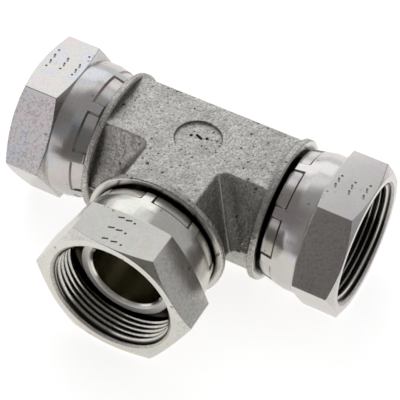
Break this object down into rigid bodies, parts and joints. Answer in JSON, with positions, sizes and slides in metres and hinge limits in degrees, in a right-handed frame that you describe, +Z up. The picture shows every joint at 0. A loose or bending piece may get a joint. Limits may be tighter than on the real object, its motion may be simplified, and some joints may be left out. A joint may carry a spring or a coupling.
{
  "type": "hydraulic tee",
  "caption": "Forged steel tee for hydraulic lines, with a crimped swivel nut and a cone nose on every port.",
  "frame": {"origin": "where the axes of the three ports cross", "axes": "+X along the run towards the right port, -Y along the branch, +Z up through the forging's flat face with the round recess"},
  "size_m": [0.138, 0.1008, 0.0562],
  "materials": {
    "forged_steel": "zinc plated as forged, matt and finely pitted, turned and smooth at the ports",
    "nut_steel": "zinc plated and passivated, smooth with a soft sheen"
  },
  "bodies": {
    "body": {"tee_body": "forged_steel"},
    "right_nut": {"right_run_nut": "nut_steel"},
    "left_nut": {"left_run_nut": "nut_steel"},
    "branch_nut": {"branch_nut": "nut_steel"}
  },
  "joints": [
    {"name": "right_nut_swivel", "type": "hinge", "parent": "body", "child": "right_nut", "pos_m": [0, 0, 0], "axis": [1, 0, 0], "continuous": true},
    {"name": "left_nut_swivel", "type": "hinge", "parent": "body", "child": "left_nut", "pos_m": [0, 0, 0], "axis": [-1, 0, 0], "continuous": true},
    {"name": "branch_nut_swivel", "type": "hinge", "parent": "body", "child": "branch_nut", "pos_m": [0, 0, 0], "axis": [0, -1, 0], "continuous": true}
  ]
}
